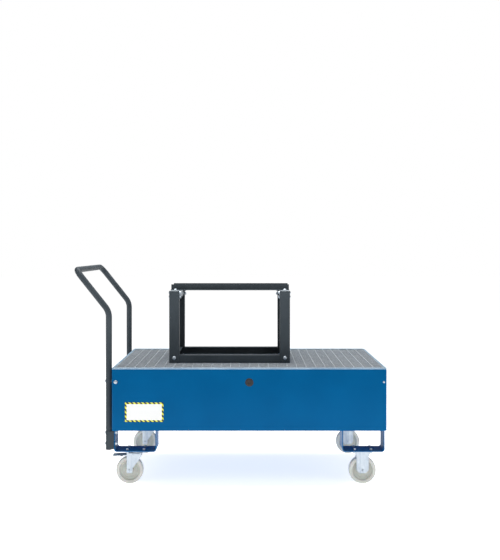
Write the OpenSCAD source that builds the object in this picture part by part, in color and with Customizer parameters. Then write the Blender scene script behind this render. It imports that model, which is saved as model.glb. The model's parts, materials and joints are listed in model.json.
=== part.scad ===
// Drum dolly: a spill-sump trolley with a grating deck, a push handle and a bolted drum stand.
// Millimetres. X runs along the dolly with the handle at -X, -Y is the long front face, Z is up.
// The origin is on the floor, under the middle of the whole dolly.

/* [Sump tray] */
// Outside length of the sump tray
tray_w = 1250; // [1240:2:1300]
// Outside depth of the sump tray
tray_d = 800; // [790:2:860]
// Height of the tray walls
tray_h = 287; // [270:1:320]
// Height of the tray underside above the floor
tray_z = 258; // [250:1:280]
// Thickness of the tray sheet
sheet_t = 3; // [2:0.5:4]
// Width of the round hem along the top edge
hem_w = 9; // [8:0.5:10]
// Radius of the upright corners
corner_r = 10; // [8:1:14]

/* [Deck grating] */
// Height of the bearing bars
bar_h = 30; // [25:1:35]
// Thickness of the bearing bars and borders
bar_t = 3; // [2:0.5:4]
// Number of spaces between bearing bars
bar_spaces = 28; // [24:1:32]
// Height of the cross bars
cross_h = 10; // [6:1:12]
// Thickness of the cross bars
cross_t = 2; // [1.5:0.5:3]
// Number of cross bars
cross_count = 35; // [20:1:50]
// Depth of the deck below the top of the hem
deck_drop = 3; // [0:0.5:6]

/* [Foot brackets] */
// Distance of each caster from the tray centre along X
foot_x = 523; // [515:1:527]
// Distance of each caster from the tray centre along Y
foot_y = 308; // [300:1:312]
// Outside width of a foot bracket
foot_w = 194; // [190:1:196]
// Length of a foot bracket along Y
foot_d = 112; // [105:1:120]
// Thickness of the bracket plate
foot_t = 4; // [3:0.5:5]
// Outside radius of the bracket bends
foot_r = 14; // [8:1:18]

/* [Casters] */
// Overall height of a caster
caster_h = 155; // [152:1:158]
// Wheel diameter
wheel_d = 125; // [120:1:125]
// Wheel width
wheel_w = 36; // [30:1:36]
// Distance from the swivel axis to the wheel axle
trail = 30; // [26:1:34]
// Hole spacing of the top plate along X
plate_hole_x = 76; // [74:1:80]
// Hole spacing of the top plate along Y
plate_hole_y = 60; // [58:1:62]

/* [Push handle] */
// Diameter of the handle tube
tube_d = 28; // [26:1:30]
// Wall of the handle tube
tube_t = 2; // [1.5:0.5:3]
// Clear gap between the tray side and the tube
tube_gap = 6; // [5:1:8]
// Distance of each leg from the tray centre along Y
leg_y = 350; // [345:1:350]
// Height of the middle of the grip
grip_z = 988; // [940:1:1050]
// Distance of the grip's outside from the tray side
handle_reach = 185; // [160:1:200]
// Height at which the legs bend outwards
elbow_z = 798; // [760:1:820]
// Bend radius of the elbows
elbow_r = 78; // [60:1:90]
// Bend radius of the grip corners
grip_r = 45; // [40:1:70]

/* [Drum stand] */
// Overall length of the stand
stand_w = 576; // [560:2:600]
// Overall depth of the stand
stand_d = 400; // [380:2:420]
// Centre of the stand from the tray centre
stand_x = -94; // [-120:1:100]
// Height of the uprights
upright_h = 342; // [300:1:400]
// Width of an upright's face
upright_w = 48; // [46:1:50]
// Depth of an upright's flanges
upright_d = 40; // [38:1:44]
// Thickness of the stand sheet
stand_t = 3; // [2.5:0.5:3]
// Height of the bottom rails
rail_h = 36; // [34:1:38]
// Height of the cradle rails
cradle_h = 27.5; // [25:0.5:30]
// Half the clear distance between the cradle rails
cradle_half = 75; // [60:1:90]

/* [Hidden] */
$fn = 64;
eps = 0.05;

BLUE = "#075f99";
DARK_BLUE = "#134a73";
ANTHRACITE = "#434b51";
STAND_GREY = "#414a52";
GALVANISED = "#8f9aa3";
ZINC = "#c8d2d4";
NYLON = "#e2e2dd";
BLACK = "#2b2a2c";

tray_x = handle_reach / 2;
tray_top = tray_z + tray_h;
deck_z = tray_top - deck_drop;
grating_gap = 1.3;
grating_w = tray_w - 2 * hem_w - 2 * grating_gap;
grating_d = tray_d - 2 * hem_w - 2 * grating_gap;
bar_pitch = (grating_w - bar_t) / bar_spaces;
cross_pitch = (grating_d - 2 * bar_t) / (cross_count + 1);
hem_drop = 18;
ledge_w = 30;
ledge_drop = 12;
beam_w = 40;
beam_h = 42;

plug_z = 479;
plug_head_r = 19;
plug_hole_r = 14;
plug_len = 14;
plug_head_h = 4;
plug_wall = 3;
plug_dimple_r = 7;
fit = 0.05;
label_x = -477;
label_z = 344;
label_w = 175;
label_h = 88;
label_t = 0.6;
corner_bolt_x = 607;
corner_rivet_x = 611.5;
corner_bolt_z = 480;

tube_r = tube_d / 2;
leg_x = -tray_w / 2 - tube_gap - tube_r;
grip_x = -tray_w / 2 - handle_reach + tube_r;
leg_foot_z = 164;
cap_t = 3;
slant = atan((leg_x - grip_x) / (grip_z - elbow_z));
slant_len = (grip_z - elbow_z) / cos(slant);
elbow_cut = elbow_r * tan(slant / 2);
mark_h = 0.2;
mark_len = 1;
cap_plug = 12;
spacer_r = 10;
spacer_in = 6;
saddle_half = 17;
saddle_in = 5;
upper_bolt_z = 478;
lower_bolt_z = [192, 242];
saddle_top = 250;
saddle_bottom = 168;
m8_r = 4;
m8_hole_r = 4.5;
m10_r = 5;
m10_hole_r = 5.25;

plate_w = 105;
plate_d = 85;
plate_t = 3.5;
plate_corner = 8;
wheel_r = wheel_d / 2;
axle_z = wheel_r;
fork_gap = 20;
fork_t = 2.5;
rib_w = 26;
rib_t = 2.5;
crown_r = 30;
crown_z = 138.5;
crown_t = 3.5;
ball_r = 4.65;
ball_ring_r = 16;
ball_count = 10;
king_r = 6;
sleeve_r = 7.5;
axle_r = 5;
brake_x = -13.5;
brake_z = 131;
pedal_tip = -108;
pedal_drop = 3;
pivot_r = 3;
pedal_half = 21;
pedal_neck = 17;
pedal_t = 3;
pedal_low = 1;
pedal_top = pedal_low + pedal_t;
neck_start = -34;
neck_lap = 6;
neck_end = -4;
ear_t = 3;
ear_x = [-12, 5];
ear_low = -4;
ear_y = pedal_neck - 2;
pad_x = [-60, -50];
pad_half = 12;
pad_low = -3.9;
race_z = 147;
race_r = 29;
race_bore_r = 22;
race_lip_r = 26;
race_lip_bore_r = 21.5;
race_lip_h = 3;
king_head_r = 10;
king_head_h = 3;
king_z = 131;
king_flats = 17;
king_nut_gap = 0.5;
crown_gap = 0.3;
cheek_reach = 24;
cheek_low = 12;
cheek_foot = 16;
cheek_waist = 28;
cheek_head = 40;
fixed_rise = 1.5;
swivel_rise = 7.5;
cheek_turn_z = 2 * axle_z + 1;
rib_stop = 4;
pin_head_lip = 1.5;
pin_head_h = 2;
web_half = 10;
m8_flats = 13;
m8_nut_h = 6.5;
m8_head_h = 5.3;
m10_flats = 16;
m10_nut_h = 8.4;
m10_tail = 11;
m8_tail = 8;
washer_r = 8;
washer_t = 1.6;
thread_end = 1;
rivet_r = 2.4;
rivet_tail = 3;
rivet_set_r = 1.4 * rivet_r;
corner_dome_h = 7;
corner_hex_r = 8;
corner_hex_h = 8;

bearer_w = 38;
half_w = stand_w / 2;
half_d = stand_d / 2;
stand_top = deck_z + upright_h;
front_bolt_inset = 23.7;
front_bolt_z = 23;
side_bolt_inset = 22;
side_bolt_z = 18;
cradle_foot = 40;
cradle_bolt_inset = 21;
cradle_bolt_shift = 2;
cradle_bolt_y = cradle_half + cradle_foot / 2 + cradle_bolt_shift;
rail_flange = 37;
top_bolt_z = [-29, -9];
bend_r = 5;
bend_gap = 0.6;
notch_gap = 0.5;
side_gap = 0.2;
rail_lap = 2;
dome_r = 9;
dome_h = 4.5;
SIDES = [-1, 1];

// ---------- shared shapes ----------

module at_tray() translate([tray_x, 0, 0]) children();

module at_stand() translate([tray_x + stand_x, 0, 0]) children();

module at_foot(side_x, side_y) translate([tray_x + side_x * foot_x, side_y * foot_y, 0]) children();

module box_between(low, high) translate(low) cube(high - low);

// Rectangle centred on the origin with four round corners.
module round_rect(w, d, r) {
    square([w - 2 * r, d], center = true);
    square([w, d - 2 * r], center = true);
    for (sx = SIDES, sy = SIDES) translate([sx * (w / 2 - r), sy * (d / 2 - r)]) circle(r);
}

// Rectangle from y = 0 upwards, centred on x, with its two lower corners round.
module round_foot_rect(w, h, r) {
    translate([-w / 2, r]) square([w, h - r]);
    translate([-w / 2 + r, 0]) square([w - 2 * r, h]);
    for (sx = SIDES) translate([sx * (w / 2 - r), r]) circle(r);
}

// Bent sheet channel in plan: web along x at y = 0, flanges towards +y.
module channel_2d(w, d, t, r) {
    difference() {
        round_foot_rect(w, d, r);
        translate([0, t]) round_foot_rect(w - 2 * t, d, r - t);
    }
}

// Cylinder whose axis runs along X from x0 to x1.
module x_rod(r, x0, x1) translate([x0, 0, 0]) rotate([0, 90, 0]) cylinder(h = x1 - x0, r = r);

// Cylinder whose axis runs along Y from y0 to y1.
module y_rod(r, y0, y1) translate([0, y1, 0]) rotate([90, 0, 0]) cylinder(h = y1 - y0, r = r);

// Low domed head standing on z = 0, a slice of a sphere.
module dome_head(r, h) {
    ball = (r * r + h * h) / (2 * h);
    intersection() {
        translate([0, 0, h - ball]) sphere(ball);
        cylinder(h = h + 1, r = r);
    }
}

// Domed bolt: head on z = 0, shank down to z = -len.
module dome_bolt(head_r, head_h, shank_r, len) {
    dome_head(head_r, head_h);
    translate([0, 0, -len]) cylinder(h = len + eps, r = shank_r);
}

// Hexagon nut standing on z = 0 with its own bore.
module hex_nut(flats, h, bore_r) {
    difference() {
        cylinder(h = h, r = flats / sqrt(3), $fn = 6);
        translate([0, 0, -1]) cylinder(h = h + 2, r = bore_r);
    }
}

// ---------- sump tray ----------

module hem_bead() {
    r = hem_w / 2;
    run_x = tray_w / 2 - corner_r;
    run_y = tray_d / 2 - corner_r;
    z = tray_top - r;
    for (s = SIDES) {
        translate([0, s * (tray_d / 2 - r), z]) x_rod(r, -run_x, run_x);
        translate([s * (tray_w / 2 - r), 0, z]) y_rod(r, -run_y, run_y);
    }
    for (sx = SIDES, sy = SIDES) translate([sx * run_x, sy * run_y, z])
        rotate([0, 0, sx > 0 ? (sy > 0 ? 0 : 270) : (sy > 0 ? 90 : 180)])
            rotate_extrude(angle = 90) translate([corner_r - r, 0]) circle(r);
}

module sump_tray() {
    color(BLUE) difference() {
        union() {
            difference() {
                translate([0, 0, tray_z]) linear_extrude(tray_h - hem_w / 2)
                    round_rect(tray_w, tray_d, corner_r);
                translate([0, 0, tray_z + sheet_t]) linear_extrude(tray_h)
                    round_rect(tray_w - 2 * sheet_t, tray_d - 2 * sheet_t, corner_r - sheet_t);
            }
            translate([0, 0, tray_top - hem_w / 2 - hem_drop]) linear_extrude(hem_drop) difference() {
                round_rect(tray_w - sheet_t, tray_d - sheet_t, corner_r - sheet_t / 2);
                square([tray_w - 2 * hem_w, tray_d - 2 * hem_w], center = true);
            }
            hem_bead();
        }
        translate([0, -tray_d / 2, plug_z]) y_rod(plug_hole_r, -1, sheet_t + 1);
        for (s = SIDES) {
            translate([-tray_w / 2, s * leg_y, upper_bolt_z]) x_rod(m10_hole_r, -1, sheet_t + 1);
            translate([-corner_bolt_x, s * tray_d / 2, corner_bolt_z])
                y_rod(m10_hole_r, -sheet_t - 1, sheet_t + 1);
            translate([corner_rivet_x, s * tray_d / 2, corner_bolt_z])
                y_rod(rivet_r + 2 * fit, -sheet_t - 1, sheet_t + 1);
        }
    }
}

module deck_ledges() {
    top = deck_z - bar_h;
    wall = tray_d / 2 - sheet_t;
    end = tray_w / 2 - sheet_t - corner_r;
    color(DARK_BLUE) for (s = SIDES) scale([1, s, 1]) {
        box_between([-end, wall - ledge_w, top - sheet_t], [end, wall, top]);
        box_between([-end, wall - sheet_t, top - ledge_drop], [end, wall, top]);
    }
}

module deck_beam() {
    top = deck_z - bar_h;
    end = tray_w / 2 - sheet_t;
    color(GALVANISED) translate([-end, 0, top]) rotate([0, 90, 0]) rotate([0, 0, -90])
        linear_extrude(2 * end) channel_2d(beam_w, beam_h, sheet_t, bend_r);
}

module label_plate() {
    y = -tray_d / 2;
    color("white") box_between([label_x - label_w / 2, y - label_t, label_z - label_h / 2],
                               [label_x + label_w / 2, y, label_z + label_h / 2]);
}

module inspection_plug() {
    color(BLACK) translate([0, -tray_d / 2, plug_z]) rotate([90, 0, 0]) difference() {
        union() {
            dome_head(plug_head_r, plug_head_h);
            translate([0, 0, -plug_len]) cylinder(h = plug_len + eps, r = plug_hole_r - fit);
        }
        translate([0, 0, -plug_len - 1]) cylinder(h = plug_len - 1, r = plug_hole_r - plug_wall);
        translate([0, 0, plug_head_h - 1]) cylinder(h = plug_wall, r = plug_dimple_r);
    }
}

module corner_bolts() {
    color(ZINC) for (s = SIDES) translate([-corner_bolt_x, s * tray_d / 2, corner_bolt_z])
        rotate([-90 * s, 0, 0]) {
            dome_bolt(dome_r, corner_dome_h, m10_r, sheet_t + corner_hex_h);
            translate([0, 0, -sheet_t - corner_hex_h]) cylinder(h = corner_hex_h, r = corner_hex_r, $fn = 6);
        }
}

module corner_rivets() {
    color(ZINC) for (s = SIDES) translate([corner_rivet_x, s * tray_d / 2, corner_bolt_z])
        rotate([-90 * s, 0, 0]) {
            dome_bolt(2 * rivet_r, rivet_tail, rivet_r, sheet_t + rivet_tail);
            translate([0, 0, -sheet_t - rivet_tail]) cylinder(h = rivet_tail, r = rivet_set_r);
        }
}

// ---------- deck grating ----------

// Side view of one bearing bar: a comb whose notches take the cross bars.
module bearing_bar_2d() {
    half = grating_d / 2 - bar_t;
    notches = [for (i = [1:cross_count])
        let (y = -half + i * cross_pitch)
            each [[y - cross_t / 2, bar_h], [y - cross_t / 2, bar_h - cross_h],
                  [y + cross_t / 2, bar_h - cross_h], [y + cross_t / 2, bar_h]]];
    polygon(concat([[half, 0], [-half, 0], [-half, bar_h]], notches, [[half, bar_h]]));
}

module grating_bearing_bars() {
    color(GALVANISED) for (i = [0:bar_spaces])
        translate([-grating_w / 2 + i * bar_pitch, 0, deck_z - bar_h])
            rotate([90, 0, 90]) linear_extrude(bar_t) bearing_bar_2d();
}

module grating_cross_bars() {
    color(GALVANISED) for (i = [1:cross_count])
        translate([-grating_w / 2, -grating_d / 2 + bar_t + i * cross_pitch - cross_t / 2, deck_z - cross_h])
            cube([grating_w, cross_t, cross_h]);
}

module grating_borders() {
    color(GALVANISED) for (y = [-grating_d / 2, grating_d / 2 - bar_t])
        translate([-grating_w / 2, y, deck_z - bar_h]) cube([grating_w, bar_t, bar_h]);
}

// ---------- foot brackets and casters ----------

module foot_bracket(side_x, side_y) {
    color(DARK_BLUE) at_foot(side_x, side_y) difference() {
        translate([0, foot_d / 2, caster_h]) rotate([90, 0, 0]) linear_extrude(foot_d)
            channel_2d(foot_w, tray_z - caster_h, foot_t, foot_r);
        for (sx = SIDES, sy = SIDES)
            translate([sx * plate_hole_x / 2, sy * plate_hole_y / 2, caster_h - 1])
                cylinder(h = foot_t + 2, r = m8_hole_r);
        if (side_x < 0) for (z = lower_bolt_z) translate([-foot_w / 2, side_y * (leg_y - foot_y), z])
            x_rod(m10_hole_r, -1, foot_t + 1);
    }
}

module at_caster_holes() {
    for (fx = SIDES, fy = SIDES, sx = SIDES, sy = SIDES) at_foot(fx, fy)
        translate([sx * plate_hole_x / 2, sy * plate_hole_y / 2, caster_h]) children();
}

module caster_bolts() {
    color(ZINC) at_caster_holes() {
        tip = plate_t + m8_nut_h + thread_end;
        translate([0, 0, foot_t]) cylinder(h = washer_t, r = washer_r);
        translate([0, 0, foot_t + washer_t]) cylinder(h = m8_head_h, r = m8_flats / sqrt(3), $fn = 6);
        translate([0, 0, -tip]) cylinder(h = tip + foot_t + eps, r = m8_r);
    }
}

module caster_nuts() {
    color(ZINC) at_caster_holes() translate([0, 0, -plate_t - m8_nut_h]) hex_nut(m8_flats, m8_nut_h, m8_r);
}

module plate_with_holes() {
    translate([0, 0, caster_h - plate_t]) linear_extrude(plate_t) difference() {
        round_rect(plate_w, plate_d, plate_corner);
        for (sx = SIDES, sy = SIDES)
            translate([sx * plate_hole_x / 2, sy * plate_hole_y / 2]) circle(m8_hole_r);
    }
}

module swivel_top_plates() {
    color(ZINC) for (fy = SIDES) at_foot(-1, fy) difference() {
        union() {
            plate_with_holes();
            translate([0, 0, race_z]) cylinder(h = caster_h - plate_t - race_z, r = race_r);
        }
        translate([0, 0, race_z - 1]) cylinder(h = caster_h - plate_t - race_z + 1, r = race_bore_r);
        translate([0, 0, caster_h - king_head_h]) cylinder(h = king_head_h + 1, r = king_head_r);
        translate([0, 0, race_z]) cylinder(h = caster_h - race_z, r = king_r);
    }
}

module swivel_balls() {
    z = (crown_z + crown_t + caster_h - plate_t) / 2;
    color(ZINC) for (fy = SIDES) at_foot(-1, fy)
        for (i = [0:ball_count - 1]) rotate([0, 0, i * 360 / ball_count])
            translate([ball_ring_r, 0, z]) sphere(ball_r);
}

module kingpins() {
    color(ZINC) for (fy = SIDES) at_foot(-1, fy) {
        nut_z = king_z + king_nut_gap;
        translate([0, 0, caster_h - king_head_h]) cylinder(h = king_head_h, r = king_head_r);
        translate([0, 0, king_z]) cylinder(h = caster_h - king_z, r = king_r);
        translate([0, 0, nut_z]) cylinder(h = crown_z - crown_gap - nut_z, r = king_flats / sqrt(3), $fn = 6);
    }
}

// One fork cheek in side view, with the axle hole; points run round the outline.
module fork_cheek(outline, axle_x) {
    for (s = SIDES) scale([1, s, 1]) translate([0, fork_gap + fork_t, 0]) rotate([90, 0, 0])
        linear_extrude(fork_t) difference() {
            polygon(outline);
            translate([axle_x, axle_z]) circle(axle_r + fit);
        }
}

// The raised rib pressed down the middle of both cheeks.
module fork_ribs(axle_x, w, z0, z1) {
    for (s = SIDES) scale([1, s, 1]) difference() {
        box_between([axle_x - w / 2, fork_gap + fork_t, z0], [axle_x + w / 2, fork_gap + fork_t + rib_t, z1]);
        translate([axle_x, 0, axle_z]) y_rod(axle_r + fit, fork_gap, fork_gap + 2 * fork_t + rib_t);
    }
}

module fixed_fork(side_y) {
    low = axle_z - cheek_low;
    half = [[cheek_foot, low], [cheek_waist, axle_z + fixed_rise], [cheek_waist, cheek_turn_z],
            [cheek_head, caster_h - plate_t]];
    color(ZINC) at_foot(1, side_y) {
        plate_with_holes();
        fork_cheek(concat([for (i = [3:-1:0]) [-half[i][0], half[i][1]]], half), 0);
        fork_ribs(0, rib_w, low, caster_h - plate_t);
    }
}

module swivel_fork(side_y) {
    low = axle_z - cheek_low;
    top = crown_z + crown_t;
    color(ZINC) at_foot(-1, side_y) {
        difference() {
            union() {
                translate([0, 0, crown_z]) cylinder(h = crown_t, r = crown_r);
                box_between([-trail - rib_w / 2, -fork_gap - eps, crown_z],
                            [cheek_reach, fork_gap + eps, top]);
                translate([0, 0, top - eps]) cylinder(h = race_lip_h, r = race_lip_r);
            }
            translate([0, 0, top]) cylinder(h = race_lip_h + 2, r = race_lip_bore_r);
            translate([0, 0, crown_z - 1]) cylinder(h = crown_t + 2, r = king_r + fit);
        }
        difference() {
            fork_cheek([[-trail - rib_w / 2, top], [-trail - rib_w / 2, low], [-trail + rib_w / 2, low],
                        [-trail + rib_w / 2, axle_z + swivel_rise], [cheek_reach, cheek_turn_z],
                        [cheek_reach, top]],
                       -trail);
            translate([brake_x, 0, brake_z]) y_rod(pivot_r + fit, -2 * fork_gap, 2 * fork_gap);
        }
        fork_ribs(-trail, rib_w, low, top - rib_stop);
    }
}

module axle_sleeve(x) {
    translate([x, 0, axle_z]) difference() {
        y_rod(sleeve_r, -fork_gap, fork_gap);
        y_rod(axle_r + fit, -fork_gap - 1, fork_gap + 1);
    }
}

module axle_pin(x) {
    out = fork_gap + fork_t + rib_t;
    translate([x, 0, axle_z]) {
        y_rod(axle_r, -out, out);
        for (s = SIDES) translate([0, s * out, 0]) rotate([-90 * s, 0, 0])
            dome_head(axle_r + pin_head_lip, pin_head_h);
    }
}

module swivel_sleeve(side_y) color(ZINC) at_foot(-1, side_y) axle_sleeve(-trail);

module swivel_axle_pin(side_y) color(ZINC) at_foot(-1, side_y) axle_pin(-trail);

module fixed_axle_sleeves() color(ZINC) for (s = SIDES) at_foot(1, s) axle_sleeve(0);

module fixed_axle_pins() color(ZINC) for (s = SIDES) at_foot(1, s) axle_pin(0);

// Half section of the wheel: bored hub, thin web and a broad rim with round tread edges.
module wheel_2d() {
    half = wheel_w / 2;
    edge = 6;
    rim_depth = 17.5;
    rim_in = wheel_r - rim_depth;
    hub_r = 18;
    hub_half = fork_gap - 1;
    arc = [for (a = [0:15:90]) [wheel_r - edge + edge * cos(a), half - edge + edge * sin(a)]];
    upper = concat(arc, [[rim_in, half], [rim_in - 1, web_half + 2], [hub_r + 1, web_half],
                         [hub_r, hub_half], [sleeve_r + fit, hub_half]]);
    lower = [for (i = [len(upper) - 1:-1:0]) [upper[i][0], -upper[i][1]]];
    polygon(concat(upper, lower));
}

module wheel(side_x, side_y) {
    color(NYLON) at_foot(side_x, side_y) translate([side_x < 0 ? -trail : 0, 0, axle_z])
        rotate([90, 0, 0]) rotate_extrude($fn = 96) wheel_2d();
}

module at_brake(side_y) at_foot(-1, side_y) translate([brake_x, 0, brake_z]) children();

// The pedal's own frame: x along the plate, tilted down a little towards its tip.
module at_pedal(side_y) at_brake(side_y) rotate([0, -atan(pedal_drop / (brake_x - pedal_tip)), 0]) children();

// Toggle brake: a tread plate reaching past the wheel, two ears on the pivot.
module brake_pedal(side_y) {
    color(STAND_GREY) difference() {
        at_pedal(side_y) {
            box_between([pedal_tip - brake_x, -pedal_half, pedal_low], [neck_start, pedal_half, pedal_top]);
            box_between([neck_start - neck_lap, -pedal_neck, pedal_low], [neck_end, pedal_neck, pedal_top]);
            for (s = SIDES) scale([1, s, 1])
                box_between([ear_x[0], ear_y, ear_low], [ear_x[1], ear_y + ear_t, pedal_top]);
        }
        at_brake(side_y) y_rod(pivot_r + fit, -2 * fork_gap, 2 * fork_gap);
    }
}

module brake_pad(side_y) color(BLACK) at_pedal(side_y)
    box_between([pad_x[0], -pad_half, pad_low], [pad_x[1], pad_half, pedal_low]);

// Plain pivot rod, flush with the outside of both cheeks.
module brake_pivot(side_y) color(ZINC) at_brake(side_y)
    y_rod(pivot_r, -fork_gap - fork_t, fork_gap + fork_t);

// ---------- push handle ----------

module tube_ring() difference() {
    circle(tube_r);
    circle(tube_r - tube_t);
}

// Straight length of tube from z = 0 upwards.
module tube_run(len) linear_extrude(len) tube_ring();

// Tube bend that starts at the origin along +z and turns towards -x.
module tube_bend(radius, angle) translate([-radius, 0, 0]) rotate([90, 0, 0])
    rotate_extrude(angle = angle) translate([radius, 0]) tube_ring();

// Faint ring where a bend ends and where the two halves of the grip meet.
module bend_mark() translate([0, 0, -mark_len / 2]) linear_extrude(mark_len) difference() {
    circle(tube_r + mark_h);
    circle(tube_r - tube_t - mark_h);
}

// Carries on from the far end of such a bend, with +z along the tube again.
module after_bend(radius, angle) translate([-radius, 0, 0]) rotate([0, -angle, 0])
    translate([radius, 0, 0]) children();

// One half of the handle for y > 0: leg, elbow, slanted arm, corner and half of the grip.
module half_handle() {
    foot = leg_foot_z + cap_t;
    leg_len = elbow_z - elbow_cut - foot;
    arm_len = slant_len - grip_r - elbow_cut;
    translate([leg_x, leg_y, foot]) {
        tube_run(leg_len);
        translate([0, 0, leg_len]) {
            tube_bend(elbow_r, slant);
            after_bend(elbow_r, slant) {
                bend_mark();
                tube_run(arm_len);
                translate([0, 0, arm_len]) rotate([0, 0, 90]) {
                    tube_bend(grip_r, 90);
                    after_bend(grip_r, 90) tube_run(leg_y - grip_r);
                }
            }
        }
    }
}

module push_handle() {
    color(ANTHRACITE) difference() {
        union() {
            half_handle();
            mirror([0, 1, 0]) half_handle();
            translate([grip_x, 0, grip_z]) rotate([90, 0, 0]) bend_mark();
        }
        for (s = SIDES, z = concat([upper_bolt_z], lower_bolt_z))
            translate([leg_x, s * leg_y, z]) x_rod(m10_hole_r, -tube_d, tube_d);
    }
}

module handle_end_caps() {
    color(BLACK) for (s = SIDES) translate([leg_x, s * leg_y, leg_foot_z]) {
        cylinder(h = cap_t, r = tube_r);
        cylinder(h = cap_t + cap_plug, r = tube_r - tube_t - fit);
    }
}

module handle_upper_spacers() {
    color(ANTHRACITE) for (s = SIDES) translate([leg_x, s * leg_y, 0]) difference() {
        translate([0, 0, upper_bolt_z]) x_rod(spacer_r, spacer_in, tube_r + tube_gap);
        translate([0, 0, upper_bolt_z - 2 * spacer_r]) cylinder(h = 4 * spacer_r, r = tube_r);
        translate([0, 0, upper_bolt_z]) x_rod(m10_hole_r, 0, tube_d);
    }
}

module handle_lower_saddles() {
    reach = -foot_x - foot_w / 2 - leg_x;
    color(ANTHRACITE) for (s = SIDES) translate([leg_x, s * leg_y, 0]) difference() {
        box_between([-saddle_in, -saddle_half, saddle_bottom], [reach, saddle_half, saddle_top]);
        translate([0, 0, saddle_bottom - 1]) cylinder(h = saddle_top - saddle_bottom + 2, r = tube_r);
        for (z = lower_bolt_z) translate([0, 0, z]) x_rod(m10_hole_r, 0, tube_d);
    }
}

module handle_bolts() {
    bracket_in = -foot_x - foot_w / 2 + foot_t - leg_x;
    tray_in = -tray_w / 2 + sheet_t - leg_x;
    color(ZINC) for (s = SIDES) translate([leg_x, s * leg_y, 0]) {
        for (z = lower_bolt_z) translate([-tube_r, 0, z]) rotate([0, -90, 0])
            dome_bolt(dome_r, dome_h, m10_r, tube_r + bracket_in + m10_tail);
        translate([-tube_r, 0, upper_bolt_z]) rotate([0, -90, 0])
            dome_bolt(dome_r, dome_h, m10_r, tube_r + tray_in + m10_tail);
    }
}

module handle_nuts() {
    bracket_in = -foot_x - foot_w / 2 + foot_t - leg_x;
    tray_in = -tray_w / 2 + sheet_t - leg_x;
    color(ZINC) for (s = SIDES) translate([leg_x, s * leg_y, 0]) {
        for (z = lower_bolt_z) translate([bracket_in, 0, z]) rotate([0, 90, 0])
            hex_nut(m10_flats, m10_nut_h, m10_r);
        translate([tray_in, 0, upper_bolt_z]) rotate([0, 90, 0]) hex_nut(m10_flats, m10_nut_h, m10_r);
    }
}

// ---------- drum stand ----------

// Upright channel: web on the outer face, flanges inwards, notched where the rails enter.
module upright(sx, sy) {
    color(STAND_GREY) at_stand() scale([sx, sy, 1]) difference() {
        translate([half_w - upright_w / 2, half_d, deck_z]) linear_extrude(upright_h)
            scale([1, -1]) channel_2d(upright_w, upright_d, stand_t, bend_r);
        box_between([half_w - upright_w - 1, half_d - upright_d - 1, deck_z - 1],
                    [half_w - stand_t - bend_r, half_d - stand_t, deck_z + rail_h + notch_gap]);
        translate([half_w - front_bolt_inset, half_d, deck_z + front_bolt_z])
            y_rod(m8_hole_r, -stand_t - 1, 1);
        translate([half_w, half_d - side_bolt_inset, deck_z + side_bolt_z])
            x_rod(m8_hole_r, -stand_t - 1, 1);
        for (z = top_bolt_z) translate([0, half_d - side_bolt_inset, stand_top + z])
            x_rod(m8_hole_r, half_w - upright_w - 1, half_w + 1);
    }
}

// Front or rear bottom rail: full-length web, flanges cut back where the side rails lie.
module stand_rail(sy) {
    end = half_w - bend_r - bend_gap;
    flange_end = half_w - upright_w + rail_lap;
    outer = half_d - stand_t;
    color(STAND_GREY) at_stand() scale([1, sy, 1]) difference() {
        union() {
            box_between([-end, outer - stand_t, deck_z], [end, outer, deck_z + rail_h]);
            for (z = [deck_z, deck_z + rail_h - stand_t])
                box_between([-flange_end, outer - rail_flange, z],
                            [flange_end, outer - stand_t, z + stand_t]);
        }
        for (sx = SIDES) translate([sx * (half_w - front_bolt_inset), 0, deck_z + front_bolt_z])
            y_rod(m8_hole_r, outer - stand_t - 1, outer + 1);
    }
}

module stand_side_rail(sx) {
    end = half_d - 2 * stand_t - side_gap;
    outer = half_w - stand_t;
    color(STAND_GREY) at_stand() scale([sx, 1, 1]) difference() {
        union() {
            box_between([outer - stand_t, -end, deck_z], [outer, end, deck_z + rail_h]);
            for (z = [deck_z, deck_z + rail_h - stand_t])
                box_between([outer - rail_flange + rail_lap, -end, z], [outer - stand_t, end, z + stand_t]);
        }
        for (sy = SIDES) translate([0, sy * (half_d - side_bolt_inset), deck_z + side_bolt_z])
            x_rod(m8_hole_r, outer - stand_t - 1, outer + 1);
    }
}

// Top bearer: square tube between the uprights' flanges.
module bearer(sx) {
    outer = half_w - stand_t - side_gap;
    end = half_d - bend_r - bend_gap;
    low = [outer - bearer_w, -end, stand_top - bearer_w];
    high = [outer, end, stand_top];
    color(GALVANISED) at_stand() scale([sx, 1, 1]) difference() {
        box_between(low, high);
        box_between(low + [stand_t, -1, stand_t], high + [-stand_t, 1, -stand_t]);
        for (sy = SIDES) {
            for (z = top_bolt_z) translate([0, sy * (half_d - side_bolt_inset), stand_top + z])
                x_rod(m8_hole_r, outer - bearer_w - 1, outer + 1);
            translate([half_w - cradle_bolt_inset, sy * cradle_bolt_y, stand_top - stand_t - 1])
                cylinder(h = stand_t + 2, r = m8_hole_r);
        }
    }
}

// Cradle rail: angle with its upright leg towards the drum.
module cradle_rail(sy) {
    near = cradle_half;
    color(STAND_GREY) at_stand() scale([1, sy, 1]) difference() {
        union() {
            box_between([-half_w, near, stand_top], [half_w, near + stand_t, stand_top + cradle_h]);
            box_between([-half_w, near, stand_top], [half_w, near + cradle_foot, stand_top + stand_t]);
        }
        for (sx = SIDES) translate([sx * (half_w - cradle_bolt_inset), cradle_bolt_y, stand_top - 1])
            cylinder(h = stand_t + 2, r = m8_hole_r);
    }
}

module at_front_bolts() for (sx = SIDES, sy = SIDES)
    translate([sx * (half_w - front_bolt_inset), sy * half_d, deck_z + front_bolt_z])
        rotate([-90 * sy, 0, 0]) children();

module at_side_bolts(z) for (sx = SIDES, sy = SIDES)
    translate([sx * half_w, sy * (half_d - side_bolt_inset), z]) rotate([0, 90 * sx, 0]) children();

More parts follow.
